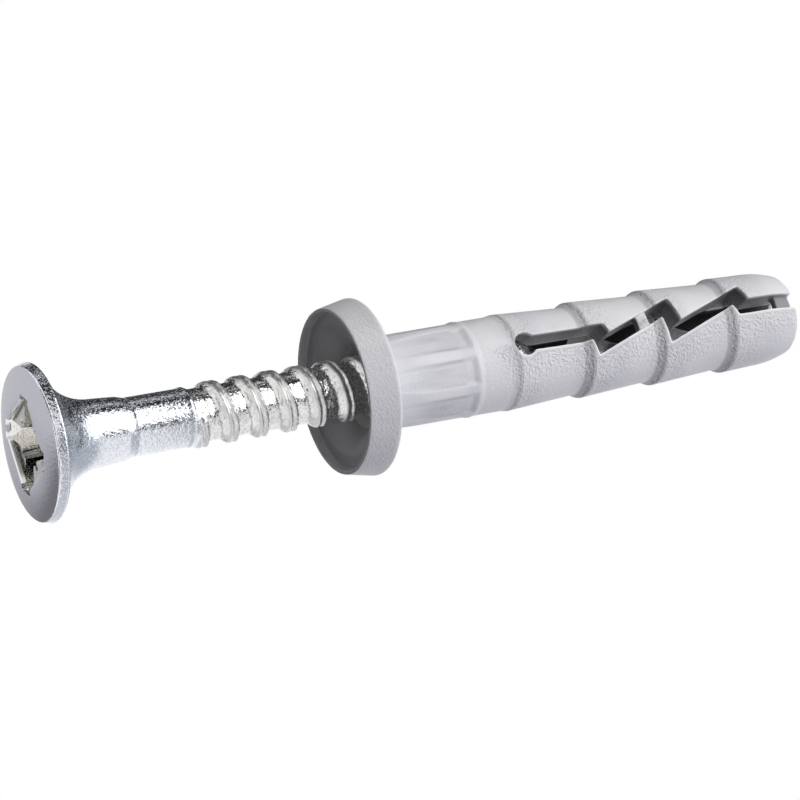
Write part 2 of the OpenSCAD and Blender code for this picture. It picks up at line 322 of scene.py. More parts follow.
def slotEdge(across, delay, rise):
    shape = sleeveShape

    def toothEnd(k):
        return shape["firstBarb"] + (k + 1) * shape["barbPitch"] + shape["toothAfterBarb"] + delay

    edge = [(across, shape["keyholeAt"]), (across, toothEnd(0))]
    for k in range(shape["teeth"]):
        edge.append((across - shape["toothLow"] + rise, toothEnd(k) + shape["toothLean"]))
        edge.append((across + shape["toothHigh"] + rise, toothEnd(k + 1)))
    edge.append((across, toothEnd(shape["teeth"]) + shape["toothLean"]))
    edge.append((across, shape["length"]))
    return edge


def distanceToChain(places, chain):
    nearest = np.full(len(places), 1e9)
    for start, end in zip(chain[:-1], chain[1:]):
        a = np.array(start)
        run = np.array(end) - a
        share = np.clip((places - a) @ run / (run @ run), 0, 1)
        nearest = np.minimum(nearest, np.linalg.norm(places - a - share[:, None] * run, axis=1))
    return nearest


def slotDistances(places):
    shape = sleeveShape
    across = np.where(places[:, 1] < 0, -places[:, 0], places[:, 0])
    flat = np.stack([across, places[:, 2] - lipZ - shape["undersideAt"]], axis=1)
    slope = (shape["toothLow"] + shape["toothHigh"]) / (shape["barbPitch"] - shape["toothLean"])
    half = shape["slotWidth"] / 2
    lower = distanceToChain(flat, slotEdge(-half, 0, 0))
    upper = distanceToChain(flat, slotEdge(half, shape["toothGap"], slope * shape["toothGap"]))
    hole = np.abs(np.linalg.norm(flat - (0, shape["keyholeAt"]), axis=1) - shape["keyholeRadius"])
    return lower, upper, hole


def makeSleeve():
    shape = sleeveShape
    sleeve = bpy.data.objects.new("plugSleeve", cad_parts["plug_sleeve"].data.copy())
    bpy.context.scene.collection.objects.link(sleeve)
    sleeve.data.materials.clear()
    setPoints(sleeve, points(sleeve) / mm)
    takeHold(sleeve)
    bpy.ops.object.mode_set(mode="EDIT")
    bpy.ops.mesh.select_all(action="SELECT")
    bpy.ops.mesh.remove_doubles(threshold=shape["weld"])
    bpy.ops.object.mode_set(mode="OBJECT")
    applyModifier(sleeve, "REMESH", mode="VOXEL", voxel_size=shape["voxel"], use_smooth_shade=True)
    print("sleeve remeshed,", len(sleeve.data.polygons), "faces")
    applyModifier(sleeve, "SMOOTH", factor=shape["softness"], iterations=shape["softPasses"])
    places = points(sleeve)
    lower, upper = slotDistances(places)[:2]
    along = places[:, 2] - lipZ - shape["undersideAt"]
    rounded = sleeve.vertex_groups.new(name="roundedEdge")
    onUpper = (upper < shape["roundedReach"]) & (upper < lower)
    chosen = np.nonzero((along > shape["roundedFrom"]) & onUpper)[0]
    weights = 1 - upper[chosen] / shape["roundedReach"]
    for index, weight in zip(chosen.tolist(), weights.tolist()):
        rounded.add([index], weight, "REPLACE")
    applyModifier(sleeve, "SMOOTH", factor=shape["softness"],
                  iterations=shape["roundedPasses"], vertex_group="roundedEdge")
    sleeve.vertex_groups.clear()
    share = shape["triangles"] / (2 * len(sleeve.data.polygons))
    applyModifier(sleeve, "DECIMATE", ratio=min(1, share))
    places = points(sleeve)
    lower, upper, hole = slotDistances(places)
    reach = np.linalg.norm(places[:, :2], axis=1)
    outside = (reach > shape["outerFrom"]).astype(float)
    setAttribute(sleeve, "slotNear", np.minimum(np.minimum(lower, upper), hole))
    setAttribute(sleeve, "lowerLeg", outside * (lower < upper))
    band = np.clip(((places[:, 2] - lipZ) / shape["depthBand"]).astype(int), 0, None)
    widest = np.zeros(band.max() + 1)
    np.maximum.at(widest, band, reach)
    setAttribute(sleeve, "depth", widest[band] - reach)
    toMetres(sleeve)
    bpy.ops.object.shade_smooth()
    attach(sleeve, "root")
    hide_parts("plug_sleeve")
    print("sleeve done,", len(sleeve.data.polygons), "faces")
    return sleeve


# Drive screw: turned profile, rolled thread with a double crest, pressed cross recess

screwShape = {
    "turnSteps": 112,
    "crownSteps": 24,
    "edgeSteps": 6,
    "flareSteps": 20,
    "weld": 0.002,
    "smoothAngle": 38,
    "length": 33.7,
    "headRadius": 4.75,
    "crownRadius": 2.5,  # flat middle of the face
    "crownFall": 0.3,
    "rimHeight": 0.7,
    "rimEdge": 0.15,
    "rimLean": 0.12,  # the rim is this much wider at the flare than at the face
    "flareRadius": 3.4,
    "flareAngle": 60,
    "swellRadius": 2.025,
    "swellEndRadius": 1.91,
    "swellEndAt": 5.9,
    "swellStep": 0.5,
    "shankRadius": 1.765,
    "shankEndAt": 10.0,
    "lipHeight": 0.06,
    "lipLength": 0.15,
    "lipFall": 0.35,
    "rootRadius": 1.625,
    "tipRadius": 0.5,
    "tipLength": 1.6,
    "rowLength": 0.06,
    "rimSlope": -13,  # degrees that the two rim edges turn through to meet the leaning rim
}
threadShape = {
    "crestRadius": 1.94,
    "pitch": 1.92,
    "crestHalf": 0.25,
    "frontFlank": 0.56,  # long slope on the head's side
    "backFlank": 0.17,
    "grooveDepth": 0.09,
    "grooveHalf": 0.1,
    "fadeTurns": 0.25,
    "runIn": 0.4,
    "startTurn": 279,
    "waviness": 0.012,
    "waves": (7, 11),  # in a turn
    "waveDrift": 2.3,
    "crestEase": 0.05,
    "windShift": 0.1,  # the long flank belongs to the turn that follows it
    "zone": (-0.1, 0.4),  # mm past the shank's end and the tip's taper
    "zoneRadius": 1,
}
recessShape = {
    "span": 6.0,
    "depth": 2.3,
    "wing": 1.25,
    "wingBelow": 0.95,
    "slope": 26.5,
    "coreRadius": 1.35,
    "coreBelow": 1.1,
    "coreTip": 0.65,
    "tipRadius": 0.08,
    "coneSides": 48,
    "taper": 0.05,  # of the round cutters, each way
    "notchSpan": 3.6,
    "notch": 0.35,
    "notchFall": 0.7,  # of the wings' own slope and depth
    "notchDepth": 0.9,
    "stepSide": 4.65,
    "stepBelow": 4.5,
    "stepSpan": 6.0,
    "stepDepth": 0.3,
    "turn": 42,
    "mouthBevel": 0.06,
    "mouthDepth": 0.06,
    "innerShare": 0.5,  # of the mouth's bevel, on the edges further in
    "margin": 0.1,
    "sharpDot": 0.8,  # edges sharper than this are eased
    "above": 0.5,
}


def screwProfile():
    shape = screwShape
    edge = shape["rimEdge"]
    rimIn = shape["headRadius"] - edge
    faceIn = rimIn - shape["rimLean"]
    angle = math.radians(shape["flareAngle"])
    flareOut = shape["flareRadius"] * (1 - math.cos(angle))
    flareUp = shape["flareRadius"] * math.sin(angle)
    flareHeight = flareUp + (rimIn - shape["swellRadius"] - flareOut) / math.tan(angle)
    fall = shape["crownFall"]
    flareFrom = fall + shape["rimHeight"]
    flareCentre = (shape["swellRadius"] + shape["flareRadius"], flareFrom + flareHeight)
    reach = faceIn - shape["crownRadius"]
    crown = (reach ** 2 + (fall + edge) ** 2 - edge ** 2) / (2 * fall)
    crownAngle = math.degrees(math.asin(reach / (crown - edge)))
    outline = arcPoints((shape["crownRadius"], crown), crown, -90, crownAngle - 90, shape["crownSteps"])
    slope, steps = shape["rimSlope"], shape["edgeSteps"]
    outline += arcPoints((faceIn, fall + edge), edge, crownAngle - 90, slope, steps)[1:]
    outline += arcPoints((rimIn, flareFrom - edge), edge, slope, 90, steps)
    outline += arcPoints(flareCentre, shape["flareRadius"], 180 + shape["flareAngle"], 180,
                         shape["flareSteps"])
    # The small offsets from here on ease each edge
    swellEnd, swellEndAt = shape["swellEndRadius"], shape["swellEndAt"]
    outline += [(swellEnd + 0.01, swellEndAt - 0.12), (swellEnd, swellEndAt)]
    outline += [(swellEnd - 0.012, swellEndAt + 0.05)]
    stepEnd = swellEndAt + shape["swellStep"]
    shank = shape["shankRadius"]
    outline += [(shank + 0.03, stepEnd - 0.1), (shank + 0.015, stepEnd - 0.05)]
    outline += [(shank - 0.02, stepEnd - 0.02), (shank - 0.02, stepEnd + 0.02)]
    outline += [(shank, stepEnd + 0.06), (shank, stepEnd + 0.14)]
    lip = shank + shape["lipHeight"]
    lipAt = shape["shankEndAt"]
    lipEnd = lipAt + shape["lipLength"]
    outline += [(shank, lipAt - shape["lipLength"] - 0.06), (shank + 0.012, lipAt - shape["lipLength"])]
    outline += [(lip - 0.012, lipAt - 0.03), (lip, lipAt + 0.03), (lip, lipEnd - 0.04)]
    outline += [(lip - 0.02, lipEnd + 0.02)]
    rootAt = lipEnd + shape["lipFall"]
    taperAt = shape["length"] - shape["tipLength"]
    rows = round((taperAt - rootAt) / shape["rowLength"])
    outline += [(shape["rootRadius"], rootAt + (taperAt - rootAt) * i / rows) for i in range(rows + 1)]
    tip = shape["tipRadius"]
    outline += [(tip + 0.04, shape["length"] - 0.06), (tip - 0.05, shape["length"])]
    return outline, rootAt, taperAt


def cutThread(screw, rootAt, taperAt):
    thread = threadShape
    places = points(screw)
    radius = np.linalg.norm(places[:, :2], axis=1)
    turn = ((np.degrees(np.arctan2(places[:, 1], places[:, 0])) - thread["startTurn"]) % 360) / 360
    startAt = screwShape["shankEndAt"] + thread["runIn"]
    around = turn * 2 * np.pi
    slow, quick = thread["waves"]
    drift = places[:, 2] * thread["waveDrift"]
    wave = thread["waviness"] * (np.sin(around * slow) + np.sin(around * quick + drift))
    lead = (places[:, 2] + wave - startAt) / thread["pitch"] - turn
    wind = np.round(lead + thread["windShift"])
    off = (lead - wind) * thread["pitch"]
    fromStart = wind + turn
    turns = (taperAt - thread["crestHalf"] - thread["backFlank"] - startAt) / thread["pitch"]
    fade = smoothStep(0, thread["fadeTurns"], fromStart)
    fade = fade * smoothStep(0, thread["fadeTurns"], turns - fromStart)
    half, ease = thread["crestHalf"], thread["crestEase"]
    front = smoothStep(-half - thread["frontFlank"], -half + ease, off)
    back = 1 - smoothStep(half - ease, half + thread["backFlank"], off)
    groove = np.exp(-(off / thread["grooveHalf"]) ** 2) * thread["grooveDepth"]
    height = (thread["crestRadius"] - screwShape["rootRadius"]) * front * back - groove
    zoneFrom, zoneTo = screwShape["shankEndAt"] + thread["zone"][0], taperAt + thread["zone"][1]
    inZone = (places[:, 2] > zoneFrom) & (places[:, 2] < zoneTo) & (radius > thread["zoneRadius"])
    raised = np.maximum(radius, np.minimum(radius, screwShape["rootRadius"]) + height * fade)
    factor = np.where(inZone, raised / np.maximum(radius, 1e-6), 1)
    places[:, :2] *= factor[:, None]
    setPoints(screw, places)


def addPrism(topSize, bottomSize, depth, turn):
    # A bar with its wide end on the head's face, narrower at its foot
    deselectAll()
    above = recessShape["above"]
    bpy.ops.mesh.primitive_cube_add(size=1, location=(0, 0, 0))
    bar = bpy.context.object
    grow = [above * (t - b) / depth for t, b in zip(topSize, bottomSize)]
    places = points(bar)
    isFoot = places[:, 2] > 0
    for i in range(2):
        places[:, i] *= np.where(isFoot, bottomSize[i], topSize[i] + grow[i])
    places[:, 2] = np.where(isFoot, depth, -above)
    angle = math.radians(turn)
    turned = places.copy()
    turned[:, 0] = places[:, 0] * math.cos(angle) - places[:, 1] * math.sin(angle)
    turned[:, 1] = places[:, 0] * math.sin(angle) + places[:, 1] * math.cos(angle)
    setPoints(bar, turned)
    return bar


def addCone(lowRadius, highRadius, fromZ, toZ):
    deselectAll()
    bpy.ops.mesh.primitive_cone_add(vertices=recessShape["coneSides"], radius1=lowRadius,
                                    radius2=highRadius, depth=toZ - fromZ,
                                    location=(0, 0, (fromZ + toZ) / 2))
    cone = bpy.context.object
    bpy.ops.object.transform_apply(location=True, rotation=False, scale=False)
    return cone


def makeStepCutter():
    shape = recessShape
    side = (shape["stepSide"], shape["stepSide"])
    foot = (shape["stepBelow"], shape["stepBelow"])
    step = addPrism(side, foot, shape["stepDepth"], shape["turn"] + 45)
    radius = shape["stepSpan"] / 2
    taper = shape["taper"]
    roundBar = addCone(radius + taper, radius - taper, -1, shape["stepDepth"] + shape["above"])
    applyModifier(step, "BOOLEAN", operation="INTERSECT", object=roundBar, solver="EXACT")
    bpy.data.objects.remove(roundBar)
    return step


def makeRecessCutter():
    shape = recessShape
    fall = shape["depth"] * math.tan(math.radians(shape["slope"]))
    wingTop = (shape["span"], shape["wing"])
    wingFoot = (shape["span"] - 2 * fall, shape["wingBelow"])
    notchTop = (shape["notchSpan"], shape["notch"])
    notchFoot = (shape["notchSpan"] - 2 * fall * shape["notchFall"], shape["notch"])
    depth, turn = shape["depth"], shape["turn"]
    cutter = addCone(shape["coreRadius"] + shape["taper"], shape["coreBelow"], -shape["above"], depth)
    tip = addCone(shape["coreBelow"], shape["tipRadius"], depth - 0.02, depth + shape["coreTip"])
    parts = [tip, makeStepCutter()]
    for k in range(2):
        parts.append(addPrism(wingTop, wingFoot, depth, turn + 90 * k))
        parts.append(addPrism(notchTop, notchFoot, depth * shape["notchDepth"], turn + 45 + 90 * k))
    for part in parts:
        applyModifier(cutter, "BOOLEAN", operation="UNION", object=part, solver="EXACT")
        bpy.data.objects.remove(part)
    return cutter


def pressRecess(screw):
    shape = recessShape
    cutter = makeRecessCutter()
    applyModifier(screw, "BOOLEAN", operation="DIFFERENCE", object=cutter, solver="EXACT")
    bpy.data.objects.remove(cutter)
    places = points(screw)
    inside = np.linalg.norm(places[:, :2], axis=1) < shape["span"] / 2 + shape["margin"]
    inside &= places[:, 2] < shape["depth"] + shape["coreTip"] + shape["margin"]
    weights = np.zeros(len(screw.data.edges), np.float32)
    slopes = {}
    for face in screw.data.polygons:
        for key in face.edge_keys:
            slopes.setdefault(key, []).append(face.normal.copy())
    for edge in screw.data.edges:
        a, b = edge.vertices
        sides = slopes.get(edge.key, [])
        isSharp = len(sides) == 2 and sides[0].dot(sides[1]) < shape["sharpDot"]
        if inside[a] and inside[b] and isSharp:
            atMouth = max(places[a, 2], places[b, 2]) < shape["mouthDepth"]
            weights[edge.index] = 1.0 if atMouth else shape["innerShare"]
    attribute = screw.data.attributes.new("bevel_weight_edge", "FLOAT", "EDGE")
    attribute.data.foreach_set("value", weights)
    applyModifier(screw, "BEVEL", limit_method="WEIGHT", width=shape["mouthBevel"], segments=2)
    print("recess pressed,", int((weights > 0).sum()), "edges eased")


def makeScrew():
    shape = screwShape
    outline, rootAt, taperAt = screwProfile()
    deselectAll()
    bpy.ops.mesh.primitive_plane_add(size=1, location=(0, 0, 0))
    screw = bpy.context.object
    screw.name = "driveScrew"
    bpy.ops.object.mode_set(mode="EDIT")
    bpy.ops.mesh.select_all(action="SELECT")
    bpy.ops.mesh.merge(type="CENTER")
    bpy.ops.transform.translate(value=(outline[0][0], 0, outline[0][1]))
    for before, after in zip(outline[:-1], outline[1:]):
        step = (after[0] - before[0], 0, after[1] - before[1])
        bpy.ops.mesh.extrude_vertices_move(TRANSFORM_OT_translate={"value": step})
    bpy.ops.mesh.select_all(action="SELECT")
    bpy.ops.mesh.spin(steps=shape["turnSteps"], angle=2 * math.pi, center=(0, 0, 0), axis=(0, 0, 1))
    bpy.ops.mesh.select_all(action="SELECT")
    bpy.ops.mesh.remove_doubles(threshold=shape["weld"])
    bpy.ops.mesh.fill_holes(sides=0)
    bpy.ops.mesh.normals_make_consistent(inside=False)
    bpy.ops.object.mode_set(mode="OBJECT")
    print("screw turned,", len(screw.data.polygons), "faces")
    cutThread(screw, rootAt, taperAt)
    pressRecess(screw)
    toMetres(screw)
    bpy.ops.object.shade_smooth_by_angle(angle=math.radians(shape["smoothAngle"]))
    applyModifier(screw, "WEIGHTED_NORMAL", keep_sharp=True)
    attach(screw, "root")
    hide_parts("drive_screw")
    print("screw done,", len(screw.data.polygons), "faces")
    return screw


sleeve = makeSleeve()
screw = makeScrew()


# Nylon: light grey, with the eroded mould's orange peel, smooth on the land beside the slots

nylonLook = {
    "colour": (0.605, 0.602, 0.622, 1),
    "shade": (0.555, 0.552, 0.582, 1),
    "shadeShare": (0.35, 0.65),
    "clouds": 3.0,
    "roughness": 0.4,
    "roughnessSpread": 0.14,
    "gloss": 0.42,
    "peel": 0.17,
    "peelDepth": 0.08,
    "peelSharpness": 0.8,
    "peelLeast": 0.13,  # share of the peel that lies everywhere
    "peelBeside": (0.6, 2.0),  # strong beside the slots
    "peelAfterStep": (0.9, 3.0),  # and behind each barb
    "peelStepShare": 0.8,
    "peelFrom": (8.5, 9.2),
    "peelCollar": 0.15,
    "collarTo": (0.4, -0.1),
    "fine": 0.08,
    "fineDepth": 0.008,
    "fineSharpness": 0.9,
    "fineClouds": 0.9,
    "land": 0.22,  # width of the smooth land along the lower leg's slot edge
    "landFade": (-0.02, 0.03),
    "legSplit": (0.6, 0.4),
    "landStep": 0.02,
    # painted shade: a thin dark line at the land's step
    "landShadeLine": (0.36, 0.36, 0.375, 1),
    "landLineHalf": 0.06,
    "landLineShare": 0.7,
    # painted highlight along the slots' edges
    "paintedEdgeHighlight": (0.74, 0.74, 0.755, 1),
    "edgeWidth": (0.1, 0.05),
    "edgeUpper": 0.4,  # the painted highlight on the upper leg's edge is less bright
    "slotShadeHigh": (0.22, 0.22, 0.23, 1),  # painted shade on the slot walls: darker just under the surface, less deep down
    "slotShadeDeep": (0.46, 0.46, 0.475, 1),
    "wallDepth": (0.12, 0.4, 1.7),
    "wallFrom": (7.0, 9.0),
    "wallTo": (29.35, 29.15),
    # painted shade: the bore is painted near black, with a light line painted along its edge
    "boreRadius": 1.02,
    "bore": (0.03, 0.03, 0.032, 1),
    "boreFade": 0.05,
    "boreEdge": (0.8, 0.8, 0.82, 1),
    "boreEdgeFade": (0.2, 0.12),
    # painted shade inside the collar's cup
    "cup": (0.38, 0.38, 0.395, 1),
    "cupDepth": (0.25, 0.45),
    "cupTo": (-0.05, -0.2),
    "neckFrom": (0.0, 0.4),
    "neckTo": (6.6, 6.2),
    "neckPaintedShading": (0.935, 0.94, 0.955, 1),  # painted shade: the neck's sunk panels are painted a little darker than its ribs
    # painted highlight on the ribs, painted shade on their flanks
    "ribPaintedHighlight": (1.02, 1.02, 1.02, 1),
    "flankPaintedShade": (0.77, 0.78, 0.8, 1),
    "ribDepth": (0.02, 0.05, 0.09, 0.13),
    "ribFade": (4.6, 1.8),  # the flanks fade towards the collar
    "ringFade": (5.3, 5.8),  # and at the ring
    "barbStepShade": (0.73, 0.73, 0.73, 1),  # painted shade on the sheltered step behind each barb
    "barbShade": (0.04, 0.16, 0.5, 0.34),
    "barbsFrom": (8.5, 9.0),
}


def makeNylon():
    look = nylonLook
    material, tree, surface, coordinates = newMaterial("greyNylon")
    height, reach = splitPlace(tree, coordinates)[:2]
    along = math2(tree, "SUBTRACT", height, lipZ + sleeveShape["undersideAt"])
    near, lower, depth = [addNode(tree, "ShaderNodeAttribute", attribute_name=name).outputs["Fac"]
                          for name in ("slotNear", "lowerLeg", "depth")]
    land = look["land"]
    offLand = ramp(tree, near, land + look["landFade"][0], land + look["landFade"][1])
    offLand = math2(tree, "MAXIMUM", offLand, ramp(tree, lower, *look["legSplit"]))
    barbPlace = math2(tree, "SUBTRACT", along, sleeveShape["firstBarb"])
    barbPlace = math2(tree, "FLOORED_MODULO", barbPlace, sleeveShape["barbPitch"])

    besideSlot = product(tree, ramp(tree, near, *look["peelBeside"], 1, 0), lower)
    afterStep = product(tree, ramp(tree, barbPlace, *look["peelAfterStep"], 1, 0),
                        ramp(tree, along, *look["peelFrom"]), look["peelStepShare"])
    onCollar = product(tree, ramp(tree, along, *look["collarTo"]), look["peelCollar"])
    strong = math2(tree, "MAXIMUM", math2(tree, "MAXIMUM", besideSlot, afterStep), onCollar)
    mask = math2(tree, "ADD", product(tree, strong, 1 - look["peelLeast"]), look["peelLeast"])
    mask = product(tree, mask, offLand)
    peel, mottle = placeGrain(tree, coordinates, look["peel"], look["clouds"], look["peelSharpness"])
    fine, slow = placeGrain(tree, coordinates, look["fine"], look["fineClouds"], look["fineSharpness"])
    normal = placeBump(tree, product(tree, peel, mask), look["peelDepth"])
    normal = placeBump(tree, product(tree, fine, mask), look["fineDepth"], normal)
    normal = placeBump(tree, offLand, -look["landStep"], normal)
    tree.links.new(normal, surface.inputs["Normal"])

    skin = mixColours(tree, ramp(tree, mottle, *look["shadeShare"]), look["colour"], look["shade"])
    # painted highlight along the slot edges, brighter on the lower leg
    edge = product(tree, ramp(tree, near, *look["edgeWidth"]),
                   ramp(tree, lower, 0, 1, look["edgeUpper"], 1.0))
    skin = mixColours(tree, edge, skin, look["paintedEdgeHighlight"])
    # painted shade line at the land's step
    landShade = product(tree, ramp(tree, near, land - look["landLineHalf"], land), lower,
                   ramp(tree, near, land + look["landLineHalf"], land), look["landLineShare"])
    skin = mixColours(tree, landShade, skin, look["landShadeLine"])
    # painted light and shade on the neck: lighter ribs, darker flanks and panels
    onNeck = product(tree, ramp(tree, along, *look["neckFrom"]), ramp(tree, along, *look["neckTo"]))
    ribTop, flankTop, flankFoot, panel = look["ribDepth"]
    neckPaintedShading = mixColours(tree, ramp(tree, depth, ribTop, flankTop), look["ribPaintedHighlight"], look["flankPaintedShade"])
    onPanel = ramp(tree, depth, flankFoot, panel)
    for fade in ("ribFade", "ringFade"):
        onPanel = math2(tree, "MAXIMUM", onPanel, ramp(tree, along, *look[fade]))
    neckPaintedShading = mixColours(tree, onPanel, neckPaintedShading, look["neckPaintedShading"])
    skin = mixColours(tree, onNeck, skin, neckPaintedShading, "MULTIPLY")
    # painted shade on the step behind each barb
    onStepShade = product(tree, ramp(tree, barbPlace, *look["barbShade"][:2]),
                     ramp(tree, barbPlace, *look["barbShade"][2:]), ramp(tree, along, *look["barbsFrom"]))
    skin = mixColours(tree, onStepShade, skin, look["barbStepShade"], "MULTIPLY")
    # painted shade inside the cup
    cupShadeMask = product(tree, ramp(tree, depth, *look["cupDepth"]), ramp(tree, along, *look["cupTo"]))
    skin = mixColours(tree, cupShadeMask, skin, look["cup"])

    # Painted shade in the slots: the walls, the near-black bore and a light line along its edge
    shallow, under, deep = look["wallDepth"]
    bore = look["boreRadius"]
    slotShading = mixColours(tree, ramp(tree, depth, under, deep), look["slotShadeHigh"], look["slotShadeDeep"])
    boreEdge = ramp(tree, reach, *[bore + fade for fade in look["boreEdgeFade"]])
    slotShading = mixColours(tree, boreEdge, slotShading, look["boreEdge"])
    slotShading = mixColours(tree, ramp(tree, reach, bore + look["boreFade"], bore), slotShading, look["bore"])
    slotShadingMask = product(tree, ramp(tree, depth, shallow, under), ramp(tree, along, *look["wallFrom"]),
                     ramp(tree, along, *look["wallTo"]))
    tree.links.new(mixColours(tree, slotShadingMask, skin, slotShading), surface.inputs["Base Color"])
    roughness = math2(tree, "ADD", product(tree, slow, look["roughnessSpread"]),
                      look["roughness"] - look["roughnessSpread"] / 2)
    tree.links.new(roughness, surface.inputs["Roughness"])
    surface.inputs["Specular IOR Level"].default_value = look["gloss"]
    return material


# Zinc: bright blue-white plating, finely grained, creamier and rougher on the rolled thread

zincLook = {
    "blue": (0.74, 0.765, 0.8, 1),
    "cream": (0.74, 0.725, 0.69, 1),
    "creamShare": 0.75,
    "lavender": (0.765, 0.755, 0.8, 1),  # clouds on the face
    "clouds": 1.4,
    "cloudShare": (0.4, 0.6),
    "cloudsTo": (0.5, 0.3),
    "roughness": 0.1,
    "cloudRoughness": 0.12,
    "threadRoughness": 0.16,
    "threadFade": (0.1, 0.7),  # from the end of the plain shank
    "crest": (1.7, 1.84),  # radius at which the root ends and the crest begins
    "crestRoughness": 0.15,  # more on the thread's crest, where the rolls have rubbed
    "crestCalm": 0.6,  # and less of the roots' wrinkles
    "grain": 0.19,
    "grainSharpness": 0.45,
    "grainDepth": 0.013,
    "faceTo": (0.25, 0.5),
    "faceGrain": 0.25,
    "shankFrom": (1.2, 2.4),
    "shankGrain": 0.7,
    "threadGrain": 0.4,
    "rolled": 0.5,
    "rolledSharpness": 0.5,
    "rolledDepth": 0.03,
    "dull": (0.5, 0.51, 0.53, 1),
    "dullGrain": (0.3, 0.8),
    "dullShare": 0.4,
    "recessReach": (3.3, 3.15),
    "recessLean": 0.5,
    "recessShade": (0.2, 0.21, 0.19, 1),  # painted shade down in the recess
    "pitDepth": (0.03, 0.15),
    "pitTurn": 246,  # painted shade on this side of the wing that faces the light
    "pitSide": (0.58, 0.75, 2.1, 2.5),
    "pitEnd": 0.3,
    "pitWall": (0.8, 0.6),
    "speck": 0.13,  # matte specks in the bright plating
    "speckSharpness": 0.4,
    "speckShare": (0.62, 0.84),
    "speckRoughness": 0.38,
    "threadSpecks": 0.6,
    "specksFrom": (0.25, 0.42),
    "faceSpecks": 0.25,
}


def makeZinc():
    look = zincLook
    material, tree, surface, coordinates = newMaterial("blueZinc")
    along, reach, flat = splitPlace(tree, coordinates)
    onThread = ramp(tree, along, *[screwShape["shankEndAt"] + fade for fade in look["threadFade"]])
    onCrest = product(tree, onThread, ramp(tree, reach, *look["crest"]))
    inRoot = math2(tree, "SUBTRACT", onThread, product(tree, onCrest, look["crestCalm"]))
    grain, mottle = placeGrain(tree, coordinates, look["grain"], look["clouds"], look["grainSharpness"])
    rolled = placeGrain(tree, coordinates, look["rolled"], look["clouds"], look["rolledSharpness"])[0]
    speck = placeGrain(tree, coordinates, look["speck"], look["clouds"], look["speckSharpness"])[0]

    grainShare = product(tree, ramp(tree, along, *look["faceTo"], look["faceGrain"], 1.0),
                         ramp(tree, along, *look["shankFrom"], 1.0, look["shankGrain"]),
                         ramp(tree, onThread, 0, 1, 1.0, look["threadGrain"]))
    normal = placeBump(tree, product(tree, grain, grainShare), look["grainDepth"])
    normal = placeBump(tree, product(tree, rolled, inRoot), look["rolledDepth"], normal)
    tree.links.new(normal, surface.inputs["Normal"])

    clouds = product(tree, ramp(tree, mottle, *look["cloudShare"]), ramp(tree, along, *look["cloudsTo"]))
    skin = mixColours(tree, clouds, look["blue"], look["lavender"])
    skin = mixColours(tree, product(tree, onThread, look["creamShare"]), skin, look["cream"])
    dull = product(tree, ramp(tree, rolled, *look["dullGrain"]), look["dullShare"], inRoot)
    skin = mixColours(tree, dull, skin, look["dull"])
    inward = math2(tree, "ADD", reach, product(tree, along, look["recessLean"]))
    recess = product(tree, ramp(tree, along, *look["pitDepth"]), ramp(tree, inward, *look["recessReach"]))
    skin = mixColours(tree, recess, skin, look["cream"])
    wingSide = addNode(tree, "ShaderNodeVectorMath", operation="DOT_PRODUCT")
    wingSide.inputs[1].default_value = aroundPlug(look["pitTurn"], 0, 1 / mm) / mm
    tree.links.new(flat, wingSide.inputs[0])
    side = wingSide.outputs["Value"]
    facing = addNode(tree, "ShaderNodeSeparateXYZ")
    tree.links.new(addNode(tree, "ShaderNodeNewGeometry").outputs["True Normal"], facing.inputs[0])
    level = math2(tree, "ABSOLUTE", facing.outputs["Z"], 0.0)
    # painted shade on the recess walls, on one side only
    recessShade = product(tree, recess, ramp(tree, side, *look["pitSide"][:2]),
                  ramp(tree, side, *look["pitSide"][2:], 1.0, look["pitEnd"]),
                  ramp(tree, level, *look["pitWall"]))
    tree.links.new(mixColours(tree, recessShade, skin, look["recessShade"]), surface.inputs["Base Color"])

    base = math2(tree, "ADD", product(tree, onThread, look["threadRoughness"] - look["roughness"]),
                 look["roughness"] - look["cloudRoughness"] / 2)
    base = math2(tree, "ADD", base, product(tree, mottle, look["cloudRoughness"]))
    base = math2(tree, "ADD", base, product(tree, onCrest, look["crestRoughness"]))
    matte = product(tree, ramp(tree, speck, *look["speckShare"]), look["speckRoughness"],
                    ramp(tree, onThread, 0, 1, 1.0, look["threadSpecks"]),
                    ramp(tree, along, *look["specksFrom"], look["faceSpecks"], 1.0),
                    ramp(tree, recess, 0, 1, 1.0, 0.0))
    tree.links.new(math2(tree, "ADD", base, matte), surface.inputs["Roughness"])
    surface.inputs["Metallic"].default_value = 1.0
    return material


sleeve.data.materials.append(makeNylon())
screw.data.materials.append(makeZinc())
print("materials made")


# Studio: floor, a soft lamp, cards that only the metal sees, and the surroundings

